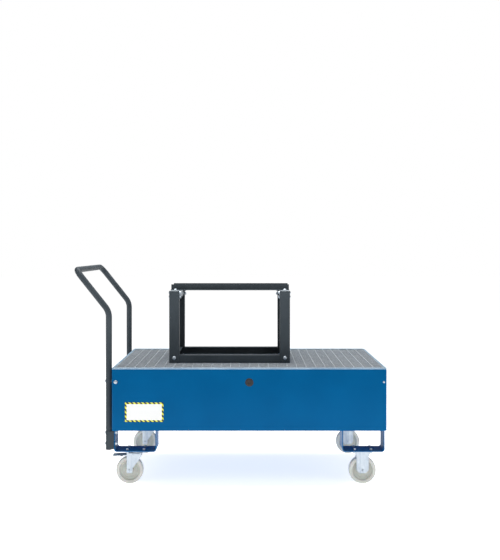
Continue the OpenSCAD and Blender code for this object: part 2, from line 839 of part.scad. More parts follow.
module at_cradle_bolts() for (sx = SIDES, sy = SIDES)
    translate([sx * (half_w - cradle_bolt_inset), sy * cradle_bolt_y, stand_top + stand_t]) children();

module stand_bolts() {
    color(ZINC) at_stand() {
        at_front_bolts() dome_bolt(dome_r, dome_h, m8_r, 2 * stand_t + m8_tail);
        at_side_bolts(deck_z + side_bolt_z) dome_bolt(dome_r, dome_h, m8_r, 2 * stand_t + m8_tail);
        for (z = top_bolt_z) at_side_bolts(stand_top + z)
            dome_bolt(dome_r, dome_h, m8_r, upright_w + m8_tail);
        at_cradle_bolts() dome_bolt(dome_r, dome_h, m8_r, 2 * stand_t + m8_tail);
    }
}

module stand_nuts() {
    color(ZINC) at_stand() {
        at_front_bolts() translate([0, 0, -2 * stand_t - m8_nut_h]) hex_nut(m8_flats, m8_nut_h, m8_r);
        at_side_bolts(deck_z + side_bolt_z) translate([0, 0, -2 * stand_t - m8_nut_h])
            hex_nut(m8_flats, m8_nut_h, m8_r);
        for (z = top_bolt_z) at_side_bolts(stand_top + z) translate([0, 0, -upright_w - m8_nut_h])
            hex_nut(m8_flats, m8_nut_h, m8_r);
        at_cradle_bolts() translate([0, 0, -2 * stand_t - m8_nut_h]) hex_nut(m8_flats, m8_nut_h, m8_r);
    }
}

// ---------- nodes ----------

at_tray() sump_tray();
at_tray() deck_ledges();
at_tray() deck_beam();
at_tray() label_plate();
foot_bracket(-1, -1);  // foot_bracket_left_front
foot_bracket(-1, 1);  // foot_bracket_left_rear
foot_bracket(1, -1);  // foot_bracket_right_front
foot_bracket(1, 1);  // foot_bracket_right_rear
at_tray() push_handle();
at_tray() handle_end_caps();
at_tray() handle_upper_spacers();
at_tray() handle_lower_saddles();
at_tray() handle_bolts();
at_tray() handle_nuts();
at_tray() corner_bolts();
at_tray() corner_rivets();
caster_bolts();
caster_nuts();
swivel_top_plates();
swivel_balls();
kingpins();
fixed_fork(-1);  // fixed_fork_front
fixed_fork(1);  // fixed_fork_rear
fixed_axle_sleeves();
fixed_axle_pins();
swivel_fork(-1);  // swivel_fork_front
swivel_sleeve(-1);  // swivel_sleeve_front
swivel_axle_pin(-1);  // swivel_axle_pin_front
swivel_fork(1);  // swivel_fork_rear
swivel_sleeve(1);  // swivel_sleeve_rear
swivel_axle_pin(1);  // swivel_axle_pin_rear
wheel(-1, -1);  // wheel_left_front
wheel(-1, 1);  // wheel_left_rear
wheel(1, -1);  // wheel_right_front
wheel(1, 1);  // wheel_right_rear
brake_pedal(-1);  // brake_pedal_front
brake_pedal(1);  // brake_pedal_rear
brake_pad(-1);  // brake_pad_front
brake_pad(1);  // brake_pad_rear
brake_pivot(-1);  // brake_pivot_front
brake_pivot(1);  // brake_pivot_rear
at_tray() inspection_plug();
at_tray() grating_bearing_bars();
at_tray() grating_cross_bars();
at_tray() grating_borders();
upright(-1, -1);  // upright_left_front
upright(-1, 1);  // upright_left_rear
upright(1, -1);  // upright_right_front
upright(1, 1);  // upright_right_rear
stand_rail(-1);  // stand_rail_front
stand_rail(1);  // stand_rail_rear
stand_side_rail(-1);  // stand_side_rail_left
stand_side_rail(1);  // stand_side_rail_right
bearer(-1);  // bearer_left
bearer(1);  // bearer_right
cradle_rail(-1);  // cradle_rail_front
cradle_rail(1);  // cradle_rail_rear
stand_bolts();
stand_nuts();
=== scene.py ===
"""Looks of a spill-sump drum dolly: painted tray, bent-tube handle, grating deck, casters and drum stand.

Every length is in metres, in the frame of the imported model. Places come from that model's nodes and joints.
"""

import json

import bmesh
import bpy
import numpy as np
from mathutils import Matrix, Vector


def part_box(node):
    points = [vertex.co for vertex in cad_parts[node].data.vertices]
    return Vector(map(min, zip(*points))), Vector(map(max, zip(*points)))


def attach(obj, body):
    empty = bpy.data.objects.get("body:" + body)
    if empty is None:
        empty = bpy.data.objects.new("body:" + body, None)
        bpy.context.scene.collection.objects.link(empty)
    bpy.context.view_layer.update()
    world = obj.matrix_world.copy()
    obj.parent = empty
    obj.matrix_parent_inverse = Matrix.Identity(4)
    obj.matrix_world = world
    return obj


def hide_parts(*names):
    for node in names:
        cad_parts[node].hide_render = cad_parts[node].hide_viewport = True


bl_info = {
    "name": "Spill-sump drum dolly",
    "version": (1, 0, 0),
    "blender": (4, 5, 0),
    "location": "View3D > Sidebar > Dolly",
    "description": "Builds the finished surfaces and materials of a spill-sump drum dolly",
    "category": "Add Mesh",
}

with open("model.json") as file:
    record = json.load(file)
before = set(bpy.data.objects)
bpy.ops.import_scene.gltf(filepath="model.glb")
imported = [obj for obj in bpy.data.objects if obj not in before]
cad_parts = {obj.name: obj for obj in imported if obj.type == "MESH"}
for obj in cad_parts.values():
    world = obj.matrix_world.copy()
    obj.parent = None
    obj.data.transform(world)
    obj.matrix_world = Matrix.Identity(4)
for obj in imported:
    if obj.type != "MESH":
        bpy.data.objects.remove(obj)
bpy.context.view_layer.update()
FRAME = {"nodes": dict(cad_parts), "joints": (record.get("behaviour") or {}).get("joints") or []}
SIDES = (-1, 1)
ENDS = ("front", "rear")
CORNERS = ("left_front", "left_rear", "right_front", "right_rear")
SQUARE = np.array([[-1, -1], [1, -1], [1, 1], [-1, 1]])

# Widths of the small round on edges: brackets and stand members, then saddles, bearers and brake pads, then
# pedals. PRESSED_PLATE is the thickness of the forks' webs and top plates.
BAR_EDGE = 0.0006
STRIP_EDGE = 0.0008
PEDAL_EDGE = 0.0005
PRESSED_PLATE = 0.0035

# Angles in degrees: past the first an edge is drawn sharp, past the second it is rounded, and faces that
# meet at less than the third are one flat. Corners closer than SAME_POINT are one corner.
SHARP_ANGLE = 38.0
ROUNDED_ANGLE = 50
FLAT_ANGLE = 0.5
SAME_POINT = 1e-6


# ---------- reading the frame ----------


def node_box(node):
    """Lowest corner, highest corner and centre of a node, as arrays."""
    low, high = (np.array(corner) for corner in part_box(node))
    return low, high, (low + high) / 2


def joint_point(name):
    """The point that a joint turns about."""
    return np.array(next(j for j in FRAME["joints"] if j["name"] == name)["pos_m"])


# ---------- colour and material helpers ----------


def linear(code):
    """sRGB hex to linear RGBA: c / 12.92 below 0.04045, else ((c + 0.055) / 1.055) ** 2.4."""
    c = np.array([int(code[i : i + 2], 16) for i in (1, 3, 5)]) / 255
    low, high = c / 12.92, ((c + 0.055) / 1.055) ** 2.4
    return (*np.where(c <= 0.04045, low, high).tolist(), 1.0)


def add_node(tree, kind, inputs=None, **settings):
    """Adds one node: settings are its attributes; an input is a value, or another node's socket to link."""
    node = tree.nodes.new(kind)
    for key, value in settings.items():
        setattr(node, key, value)
    for key, value in (inputs or {}).items():
        if isinstance(value, bpy.types.NodeSocket):
            tree.links.new(value, node.inputs[key])
        else:
            node.inputs[key].default_value = value
    return node


def begin_material(name):
    """An empty node material and its Object coordinates."""
    material = bpy.data.materials.new(name)
    material.use_nodes = True
    material.node_tree.nodes.clear()
    place = add_node(material.node_tree, "ShaderNodeTexCoord").outputs["Object"]
    return material, material.node_tree, place


def end_material(tree, shader):
    """Links the shader to the material's output."""
    add_node(tree, "ShaderNodeOutputMaterial", {"Surface": shader.outputs[0]})


def tinted(tree, factor, dark, light):
    """Colour between two hex values by a 0 to 1 factor, with all of the change between 0.3 and 0.7."""
    ramp = add_node(tree, "ShaderNodeValToRGB", {"Fac": factor})
    for element, position, code in zip(ramp.color_ramp.elements, (0.3, 0.7), (dark, light)):
        element.position = position
        element.color = linear(code)
    return ramp.outputs["Color"]


# ---------- materials ----------


def powder_coat(name, dark, light, roughness, shine=0.14):
    """Polyester powder baked on sheet steel: a satin skin with orange peel and a very slight drift of shade.

    The peel's real grain is about 1 mm; it is drawn at 3 mm so that it shows. Shine is the specular level:
    low on the broad walls and brackets, and high on the hem, which is glossy and coloured pale as a painted
    highlight.
    """
    material, tree, place = begin_material(name)
    drift = add_node(tree, "ShaderNodeTexNoise", {"Vector": place, "Scale": 7.0, "Detail": 3.0})
    peel = add_node(tree, "ShaderNodeTexNoise", {"Vector": place, "Scale": 330.0, "Detail": 2.0})
    gloss = add_node(tree, "ShaderNodeMapRange", {
        "Value": drift.outputs["Fac"], "To Min": roughness - 0.05, "To Max": roughness + 0.07})
    bump = add_node(tree, "ShaderNodeBump", {
        "Height": peel.outputs["Fac"], "Strength": 0.12, "Distance": 0.0004})
    end_material(tree, add_node(tree, "ShaderNodeBsdfPrincipled", {
        "Base Color": tinted(tree, drift.outputs["Fac"], dark, light),
        "Roughness": gloss.outputs["Result"], "Normal": bump.outputs["Normal"],
        "Specular IOR Level": shine}))
    return material


def galvanised_steel(name, dark, light):
    """Steel dipped in molten zinc: dull crystals, the spangle, each with its own grey, here 9 mm across.

    Grating is dipped hot and cooled in air, so its crystals differ only a little. The cross bars have a
    brighter copy of it, painted light on their faces, which sets them off from the bearing bars.
    """
    material, tree, place = begin_material(name)
    spangle = add_node(tree, "ShaderNodeTexVoronoi", {"Vector": place, "Scale": 110.0})
    crystal = add_node(tree, "ShaderNodeSeparateColor", {"Color": spangle.outputs["Color"]})
    grain = add_node(tree, "ShaderNodeTexNoise", {"Vector": place, "Scale": 500.0, "Detail": 3.0})
    gloss = add_node(tree, "ShaderNodeMapRange", {
        "Value": crystal.outputs["Green"], "To Min": 0.5, "To Max": 0.6})
    bump = add_node(tree, "ShaderNodeBump", {
        "Height": grain.outputs["Fac"], "Strength": 0.1, "Distance": 0.0003})
    end_material(tree, add_node(tree, "ShaderNodeBsdfPrincipled", {
        "Base Color": tinted(tree, crystal.outputs["Red"], dark, light), "Metallic": 0.35,
        "Roughness": gloss.outputs["Result"], "Normal": bump.outputs["Normal"]}))
    return material


def zinc_plate():
    """Electroplated zinc on pressed steel: bright, slightly blue, with faint draw lines from the press."""
    material, tree, place = begin_material("bright_zinc_plated_steel")
    stretch = add_node(tree, "ShaderNodeMapping", {"Vector": place, "Scale": (900.0, 900.0, 60.0)})
    lines = add_node(tree, "ShaderNodeTexNoise", {"Vector": stretch.outputs[0], "Scale": 1.0, "Detail": 2.0})
    cloud = add_node(tree, "ShaderNodeTexNoise", {"Vector": place, "Scale": 45.0})
    gloss = add_node(tree, "ShaderNodeMapRange", {
        "Value": lines.outputs["Fac"], "To Min": 0.26, "To Max": 0.4})
    bump = add_node(tree, "ShaderNodeBump", {
        "Height": lines.outputs["Fac"], "Strength": 0.06, "Distance": 0.0002})
    end_material(tree, add_node(tree, "ShaderNodeBsdfPrincipled", {
        "Base Color": tinted(tree, cloud.outputs["Fac"], "#b4bfca", "#c8d1d9"), "Metallic": 0.75,
        "Roughness": gloss.outputs["Result"], "Normal": bump.outputs["Normal"]}))
    return material


def bearing_steel():
    """Ground and polished chrome steel balls, filmed with grease that breaks up the mirror."""
    material, tree, place = begin_material("polished_bearing_steel")
    film = add_node(tree, "ShaderNodeTexNoise", {"Vector": place, "Scale": 400.0})
    gloss = add_node(tree, "ShaderNodeMapRange", {
        "Value": film.outputs["Fac"], "To Min": 0.08, "To Max": 0.22})
    end_material(tree, add_node(tree, "ShaderNodeBsdfPrincipled", {
        "Base Color": linear("#cdced0"), "Metallic": 1.0, "Roughness": gloss.outputs["Result"]}))
    return material


def cast_nylon(name, dark, light):
    """Natural polyamide 6, turned on the tread and as moulded inside: waxy, light bleeding under the skin. A
    darker copy is painted shade in the wheel centre's recess.
    """
    material, tree, place = begin_material(name)
    cloud = add_node(tree, "ShaderNodeTexNoise", {"Vector": place, "Scale": 28.0, "Detail": 3.0})
    skin = add_node(tree, "ShaderNodeTexNoise", {"Vector": place, "Scale": 600.0})
    bump = add_node(tree, "ShaderNodeBump", {
        "Height": skin.outputs["Fac"], "Strength": 0.08, "Distance": 0.0003})
    end_material(tree, add_node(tree, "ShaderNodeBsdfPrincipled", {
        "Base Color": tinted(tree, cloud.outputs["Fac"], dark, light), "Roughness": 0.42,
        "Subsurface Weight": 0.12, "Subsurface Scale": 0.004, "IOR": 1.53,
        "Normal": bump.outputs["Normal"]}))
    return material


def black_enamel():
    """Stove enamel on the brake pedal, rubbed to bare grey in specks where shoes land."""
    material, tree, place = begin_material("worn_black_enamel")
    rub = add_node(tree, "ShaderNodeTexNoise", {"Vector": place, "Scale": 160.0, "Detail": 4.0})
    gloss = add_node(tree, "ShaderNodeMapRange", {
        "Value": rub.outputs["Fac"], "To Min": 0.35, "To Max": 0.6})
    end_material(tree, add_node(tree, "ShaderNodeBsdfPrincipled", {
        "Base Color": tinted(tree, rub.outputs["Fac"], "#5d6e79", "#8b9aa4"),
        "Roughness": gloss.outputs["Result"]}))
    return material


def black_rubber():
    """Moulded rubber: matt, with a fine bloom on the surface."""
    material, tree, place = begin_material("moulded_black_rubber")
    bloom = add_node(tree, "ShaderNodeTexNoise", {"Vector": place, "Scale": 220.0, "Detail": 3.0})
    bump = add_node(tree, "ShaderNodeBump", {
        "Height": bloom.outputs["Fac"], "Strength": 0.15, "Distance": 0.0003})
    end_material(tree, add_node(tree, "ShaderNodeBsdfPrincipled", {
        "Base Color": tinted(tree, bloom.outputs["Fac"], "#242325", "#343234"), "Roughness": 0.72,
        "Normal": bump.outputs["Normal"]}))
    return material


def label_field():
    """White vinyl film: smooth, faintly uneven where it was rubbed down."""
    material, tree, place = begin_material("white_vinyl_film")
    rub = add_node(tree, "ShaderNodeTexNoise", {"Vector": place, "Scale": 60.0})
    gloss = add_node(tree, "ShaderNodeMapRange", {
        "Value": rub.outputs["Fac"], "To Min": 0.3, "To Max": 0.42})
    end_material(tree, add_node(tree, "ShaderNodeBsdfPrincipled", {
        "Base Color": linear("#f4f5f4"), "Roughness": gloss.outputs["Result"]}))
    return material


def label_stripes():
    """Printed border of the film: yellow and black bars at 45 degrees, 20 mm from yellow to yellow."""
    material, tree, place = begin_material("striped_vinyl_border")
    axes = add_node(tree, "ShaderNodeSeparateXYZ", {"Vector": place})
    across = add_node(tree, "ShaderNodeMath", {0: axes.outputs["X"], 1: axes.outputs["Z"]}, operation="ADD")
    wrapped = add_node(tree, "ShaderNodeMath", {0: across.outputs[0], 1: 0.02}, operation="FLOORED_MODULO")
    bar = add_node(tree, "ShaderNodeMath", {0: wrapped.outputs[0], 1: 0.01}, operation="GREATER_THAN")
    end_material(tree, add_node(tree, "ShaderNodeBsdfPrincipled", {
        "Base Color": tinted(tree, bar.outputs[0], "#20211d", "#e9ec3a"), "Roughness": 0.36}))
    return material


def studio_floor():
    """Matt white acrylic sweep, lit through from behind so that it stays white far from the lamps."""
    material, tree, _ = begin_material("backlit_white_sweep")
    end_material(tree, add_node(tree, "ShaderNodeBsdfPrincipled", {
        "Base Color": linear("#fbfbfb"), "Roughness": 0.9,
        "Emission Color": linear("#ffffff"), "Emission Strength": 0.7}))
    return material


MATERIALS = {
    "blue_powder_coat": lambda: powder_coat("satin_blue_powder_coat", "#00598e", "#005e95", 0.42, 0.05),
    # The hem's pale blue is a painted highlight along the rolled top edge.
    "hem_powder_coat": lambda: powder_coat("rubbed_blue_powder_coat", "#7d9db5", "#9db8ca", 0.3, 0.5),
    # The brackets get a lighter, greener copy of the tray's blue: painted light that offsets the shade under
    # the tray.
    "bracket_powder_coat": lambda: powder_coat("shaded_blue_powder_coat", "#055f95", "#0a659c", 0.4, 0.05),
    "anthracite_powder_coat": lambda: powder_coat("anthracite_powder_coat", "#3b4349", "#474f55", 0.48),
    "galvanised_steel": lambda: galvanised_steel("hot_dip_galvanised_steel", "#9aa3aa", "#a9b1b7"),
    # The cross bars' brighter zinc is painted light on their faces.
    "rubbed_galvanised": lambda: galvanised_steel("hot_dip_zinc_rubbed_bright", "#ccd2d7", "#dbe0e4"),
    "zinc_plated_steel": zinc_plate,
    "bearing_steel": bearing_steel,
    "cast_nylon": lambda: cast_nylon("turned_natural_nylon", "#cfcfc8", "#dadad4"),
    # The wheel centre's darker nylon is painted shade for its recess behind the tread.
    "moulded_centre": lambda: cast_nylon("moulded_natural_nylon", "#bbbeb5", "#c5c8bf"),
    "black_steel": black_enamel,
    "black_rubber": black_rubber,
    "label_film": label_field,
    "label_stripes": label_stripes,
    "studio_floor": studio_floor,
}
made = {}


def finish_of(name):
    """The material of that name, made once."""
    if name not in made:
        made[name] = MATERIALS[name]()
    return made[name]


# ---------- surfaces ----------


def unit(v):
    """Vectors brought to length 1."""
    return v / np.linalg.norm(v, axis=-1, keepdims=True)


def round_corners(points, radii, steps, closed=True):
    """Polyline whose corners become arcs.

    At a corner P with edge directions a and b that meet at the angle 2h, the arc's centre is
    P + unit(a + b) r / sin h. The arc runs between the two tangent points, P + a r / tan h and
    P + b r / tan h, by spherical interpolation of the two spokes.
    """
    p = np.asarray(points, float)
    inner = np.arange(len(p)) if closed else np.arange(1, len(p) - 1)
    r = np.broadcast_to(radii, len(inner)).astype(float)
    here = p[inner]
    a = unit(p[inner - 1] - here)
    b = unit(p[(inner + 1) % len(p)] - here)
    h = np.arccos((a * b).sum(1)) / 2
    centre = here + unit(a + b) * (r / np.sin(h))[:, None]
    spokes = [(here + v * (r / np.tan(h))[:, None] - centre)[:, None] for v in (a, b)]
    turn = (np.pi - 2 * h)[:, None, None]
    t = np.linspace(0, 1, steps)[None, :, None]
    arc = (np.sin((1 - t) * turn) * spokes[0] + np.sin(t * turn) * spokes[1]) / np.sin(turn)
    bent = (centre[:, None] + arc).reshape(-1, p.shape[1])
    return bent if closed else np.concatenate([p[:1], bent, p[-1:]])


def arc(centre, radius, start, end, steps):
    """Points centre + radius (cos t, sin t), with t from start to end in degrees."""
    t = np.radians(np.linspace(start, end, steps))
    return np.array(centre) + radius * np.stack([np.cos(t), np.sin(t)], axis=1)


def skin(rings, loop=False):
    """Shell over rings of points: ring i and ring i + 1 are joined by quads.

    Its ends are closed by faces, or, with loop, the last ring joins the first.
    """
    count, around = rings.shape[:2]
    index = np.arange(count * around).reshape(count, around)
    here = index if loop else index[:-1]
    after = np.roll(index, -1, 0) if loop else index[1:]
    quads = np.stack([here, np.roll(here, -1, 1), np.roll(after, -1, 1), after], axis=-1)
    ends = [] if loop else [index[0, ::-1].tolist(), index[-1].tolist()]
    return rings.reshape(-1, 3), quads.reshape(-1, 4).tolist() + ends


def sheet_shell(front, back):
    """Closed sheet between two grids of points: both grids in quads, with quads round the edge."""
    rows, cols = front.shape[:2]
    index = np.arange(rows * cols).reshape(rows, cols)
    cell = np.stack([index[:-1, :-1], index[1:, :-1], index[1:, 1:], index[:-1, 1:]], axis=-1).reshape(-1, 4)
    ring = np.concatenate([index[0], index[1:, -1], index[-1, -2::-1], index[-2:0:-1, 0]])
    after = np.roll(ring, -1)
    shift = rows * cols
    rim = np.stack([ring, after, after + shift, ring + shift], axis=-1)
    points = np.concatenate([front.reshape(-1, 3), back.reshape(-1, 3)])
    return points, cell.tolist() + (cell[:, ::-1] + shift).tolist() + rim.tolist()


def lathe(profile, centre, steps, loop, axis=1):
    """Profile (radius r, height h) turned about one axis: r cos t and r sin t across it, and h along it."""
    t = np.linspace(0, 2 * np.pi, steps, endpoint=False)
    r, h = profile[:, :1], profile[:, 1:]
    rings = np.empty((len(profile), steps, 3))
    rings[..., [k for k in range(3) if k != axis]] = np.stack([r * np.cos(t), r * np.sin(t)], axis=-1)
    rings[..., axis] = h
    return skin(rings + centre, loop)


def sweep(section, path, normal):
    """Section carried along a path: side = unit(tangent x normal), up = side x tangent."""
    step = unit(np.diff(path, axis=0))
    tangent = unit(np.concatenate([step[:1], step]) + np.concatenate([step, step[-1:]]))
    side = unit(np.cross(tangent, normal))
    up = np.cross(side, tangent)
    return skin(path[:, None] + section[:, :1] * side[:, None] + section[:, 1:] * up[:, None])


def extrude(section, axis, low, high):
    """Section drawn in the two other axes and stretched along one axis from low to high."""
    others = [k for k in range(3) if k != axis]
    rings = np.empty((2, len(section), 3))
    rings[:, :, others] = section
    rings[0, :, axis], rings[1, :, axis] = low, high
    return skin(rings)


def add_piece(name, shells, body, material, replaced=(), edge=0.0):
    """One object made of closed shells: its faces point outwards, and it gets an edge round and a finish."""
    mesh = bpy.data.meshes.new(name)
    starts = np.cumsum([0] + [len(points) for points, _ in shells])
    faces = [[v + int(s) for v in face] for (_, part), s in zip(shells, starts) for face in part]
    mesh.from_pydata(np.concatenate([points for points, _ in shells]).tolist(), [], faces)
    work = bmesh.new()
    work.from_mesh(mesh)
    bmesh.ops.recalc_face_normals(work, faces=work.faces)
    work.to_mesh(mesh)
    work.free()
    return dress(name, mesh, body, material, replaced, edge)


def softened_copy(node, body, slot, edge=0.0):
    """A node's own mesh with its corners merged and its triangles joined into flats.

    Its sharp edges are rounded by the edge width, and merging also closes the tips of its domes. Its finish
    is the one with the slot's name.
    """
    mesh = FRAME["nodes"][node].data.copy()
    work = bmesh.new()
    work.from_mesh(mesh)
    bmesh.ops.remove_doubles(work, verts=work.verts, dist=SAME_POINT)
    bmesh.ops.dissolve_limit(
        work, angle_limit=np.radians(FLAT_ANGLE), verts=work.verts, edges=work.edges)
    bmesh.ops.recalc_face_normals(work, faces=work.faces)
    work.to_mesh(mesh)
    work.free()
    mesh.materials.clear()
    return dress(f"{node}_finished", mesh, body, slot, (node,), edge)


def dress(name, mesh, body, material, replaced, edge):
    """Shades a mesh, rounds its edges by that width, and ties it to its body, slot and replaced nodes."""
    mesh.shade_smooth()
    mesh.set_sharp_from_angle(angle=np.radians(SHARP_ANGLE))
    piece = bpy.data.objects.new(name, mesh)
    bpy.context.scene.collection.objects.link(piece)
    mesh.materials.append(finish_of(material))
    if edge:
        bevel = piece.modifiers.new("edge_round", "BEVEL")
        bevel.width = edge
        bevel.segments = 2
        bevel.limit_method = "ANGLE"
        bevel.angle_limit = np.radians(ROUNDED_ANGLE)
        bevel.harden_normals = True
    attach(piece, body)
    if replaced:
        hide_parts(*replaced)
    return piece


def refinish(material, *nodes):
    """Gives nodes whose shape is already right their finish."""
    for node in nodes:
        slots = FRAME["nodes"][node].data.materials
        slots.clear()
        slots.append(finish_of(material))


# ---------- settings ----------


class DollyTraySettings(bpy.types.PropertyGroup):
    hem: bpy.props.FloatProperty(
        name="Hem", description="Width of the round hem", default=0.009, unit="LENGTH")
    bend: bpy.props.FloatProperty(
        name="Bend", description="Outside radius of the floor bend", default=0.004, unit="LENGTH")
    corner: bpy.props.FloatProperty(
        name="Corner", description="Radius of the upright corners", default=0.010, unit="LENGTH")
    sheet: bpy.props.FloatProperty(
        name="Sheet", description="Thickness of the tray sheet", default=0.003, unit="LENGTH")


class DollyHandleSettings(bpy.types.PropertyGroup):
    tube: bpy.props.FloatProperty(
        name="Tube", description="Diameter of the handle tube", default=0.028, unit="LENGTH")
    elbow_height: bpy.props.FloatProperty(
        name="Elbow height", description="Height at which the legs bend", default=0.798, unit="LENGTH")
    elbow_bend: bpy.props.FloatProperty(
        name="Elbow bend", description="Bend radius of the elbows", default=0.078, unit="LENGTH")
    grip_bend: bpy.props.FloatProperty(
        name="Grip bend", description="Bend radius of the grip corners", default=0.045, unit="LENGTH")


class DollyCasterSettings(bpy.types.PropertyGroup):
    cheek: bpy.props.FloatProperty(
        name="Cheek", description="Thickness of a fork cheek", default=0.0025, unit="LENGTH")
    gap: bpy.props.FloatProperty(
        name="Gap", description="Half the clear width of a fork", default=0.020, unit="LENGTH")
    rib: bpy.props.FloatProperty(
        name="Rib", description="Width of the pressed rib", default=0.026, unit="LENGTH")


class DollySettings(bpy.types.PropertyGroup):
    tray: bpy.props.PointerProperty(type=DollyTraySettings)
    handle: bpy.props.PointerProperty(type=DollyHandleSettings)
    caster: bpy.props.PointerProperty(type=DollyCasterSettings)
    backdrop: bpy.props.FloatVectorProperty(
        name="Backdrop", description="Colour of the surrounding light", subtype="COLOR", size=4,
        default=linear("#ffffff"), min=0.0, max=1.0)


# ---------- pieces ----------


def stacked_loops(profile, corner, loop):
    """Rounded rectangles stacked along a profile of (inset, height), inside the tray's own box.

    Each is the outer rectangle shrunk by its inset, and its corner radius shrinks with it.
    """
    low, high, centre = node_box("sump_tray")
    half = (high - low)[:2] / 2
    tightest = 0.0008
    loops = [round_corners(SQUARE * (half - inset), max(corner - inset, tightest), steps=7)
             for inset in profile[:, 0]]
    rings = np.empty((len(profile), len(loops[0]), 3))
    rings[:, :, :2] = np.array(loops) + centre[:2]
    rings[:, :, 2] = profile[:, 1:]
    return skin(rings, loop)


def tray_shell(size):
    """Tray walls and floor: the profile goes up the outer wall, over inside the hem, down and in."""
    low, high, _ = node_box("sump_tray")
    bottom, middle = low[2], high[2] - size.hem / 2
    sink = 0.0008
    return_drop = 0.0225
    floor_r = size.bend + size.sheet
    outward = np.array([-1.0, 1.0])
    below, above = (outward * arc((0, 0), size.bend, *turn, steps=5) for turn in ((-90, 0), (0, -90)))
    return stacked_loops(np.concatenate([
        np.array([size.bend, bottom + size.bend]) + below,
        [[0, middle - size.hem / 2 - sink], [sink, middle - size.hem / 2 + sink], [sink, middle]],
        [[size.hem - sink, middle], [size.hem - sink, high[2] - return_drop]],
        [[size.sheet, high[2] - return_drop]],
        np.array([floor_r, bottom + floor_r]) + above,
    ]), size.corner, loop=False)


def hem_shell(size):
    """Hem: a round bead carried along the top edge, its section a full circle of (inset, height)."""
    _, high, _ = node_box("sump_tray")
    r = size.hem / 2
    section = np.array([r, high[2] - r]) + arc((0, 0), r, 0, 340, steps=18)
    return stacked_loops(section, size.corner, loop=True)


def handle_shell(size):
    """Tube swept up one leg, out along the slanted arm, across the grip and back down."""
    low, high, _ = node_box("push_handle")
    cap_low, cap_high, _ = node_box("handle_end_caps")
    r = size.tube / 2
    leg_x = (cap_low[0] + cap_high[0]) / 2
    leg_y = cap_high[1] - r
    grip_x, grip_z = low[0] + r, high[2] - r
    near = np.array([[leg_x, leg_y, low[2]], [leg_x, leg_y, size.elbow_height], [grip_x, leg_y, grip_z]])
    far = near[::-1] * [1, -1, 1]
    bends = [size.elbow_bend, size.grip_bend, size.grip_bend, size.elbow_bend]
    path = round_corners(np.concatenate([near, far]), bends, steps=14, closed=False)
    arm = unit(near[2] - near[1])
    return sweep(arc((0, 0), r, 0, 350, steps=36), path, np.cross(arm, [0, 1, 0]))


def mirrored(side):
    """Closed section: the points of one side, and the same points mirrored in the wheel's middle plane."""
    return np.concatenate([side, side[::-1] * [1, -1]])


def tread_profile(radius, half, rim_in):
    """Section of the tread ring: round edges, then down its inner face to the centre's rim."""
    edge, lip, chamfer, lap = 0.006, 0.0012, 0.0010, 0.0125
    return mirrored(np.concatenate([
        arc((radius - edge, half - edge), edge, 0, 90, steps=9),
        [[rim_in + lip, half], [rim_in, half - chamfer], [rim_in - chamfer, lap]]]))


def centre_profile(half, rim_in):
    """Section of the wheel centre: a dished web with one raised ring, and the hub with its bore.

    The points are (radius, half width), from the rim inwards.
    """
    bore, hub = 0.0076, half + 0.001
    web = 0.0112
    ring = web + 0.0008
    return mirrored(np.array([
        [rim_in + 0.0005, 0.0128], [rim_in - 0.0025, 0.0118], [0.0362, web], [0.0354, ring],
        [0.0342, ring], [0.0334, 0.0110], [0.0212, 0.0100], [0.0190, 0.0108],
        [0.0182, half - 0.0008], [0.0172, hub], [bore, hub]]))


def cheek_shells(centre_x, centre_y, left, right, axle_x, size):
    """Both cheeks of a fork, each a sheet with a rib pressed along it.

    left and right give the outline as (height, x) pairs. The height of the rib over the sheet is a smooth
    step s(w) = w w (3 - 2 w), where w rises from 0 at the rib's edge to 1 within its shoulder. The two lowest
    corners are tucked in along a quarter ellipse.
    """
    shoulder = 0.005
    foot_height, foot_tuck = 0.004, 0.003
    steps = 61
    z = np.linspace(left[0][0], left[-1][0], steps)
    edges = [np.interp(z, *np.array(side).T) for side in (left, right)]
    foot = np.clip((z - z[0]) / foot_height, 0, 1)
    tuck = foot_tuck * (1 - np.sqrt(1 - (1 - foot) ** 2))
    u = np.linspace(0, 1, steps)
    x = (edges[0] + tuck)[:, None] * (1 - u) + (edges[1] - tuck)[:, None] * u
    w = np.clip((size.rib / 2 - np.abs(x - axle_x)) / shoulder, 0, 1)
    raised = size.cheek * w * w * (3 - 2 * w)
    shells = []
    for s in SIDES:
        inner = np.stack([x + centre_x, centre_y + s * (size.gap + raised), z[:, None] + 0 * x], axis=-1)
        shells.append(sheet_shell(inner + [0, s * size.cheek, 0], inner))
    return shells


def plate_shell(node):
    """Top plate of a fixed caster: a slab with round corners, at the top of the node's box."""
    _, high, centre = node_box(node)
    corner = 0.008
    half = np.array([0.0525, 0.0425])
    outline = round_corners(SQUARE * half, corner, steps=8) + centre[:2]
    return extrude(outline, 2, high[2] - PRESSED_PLATE, high[2])


def bracket_shell(node):
    """Foot bracket: a flat bar bent to a U, its section stretched along Y."""
    low, high, _ = node_box(node)
    thick, bend, edge = 0.004, 0.014, 0.0008
    x0, x1, z0, z1 = low[0], high[0], low[2], high[2]
    outline = [[x0, z0], [x1, z0], [x1, z1], [x1 - thick, z1], [x1 - thick, z0 + thick],
               [x0 + thick, z0 + thick], [x0 + thick, z1], [x0, z1]]
    radii = [bend, bend, edge, edge, bend - thick, bend - thick, edge, edge]
    return extrude(round_corners(outline, radii, steps=8), 1, low[1], high[1])


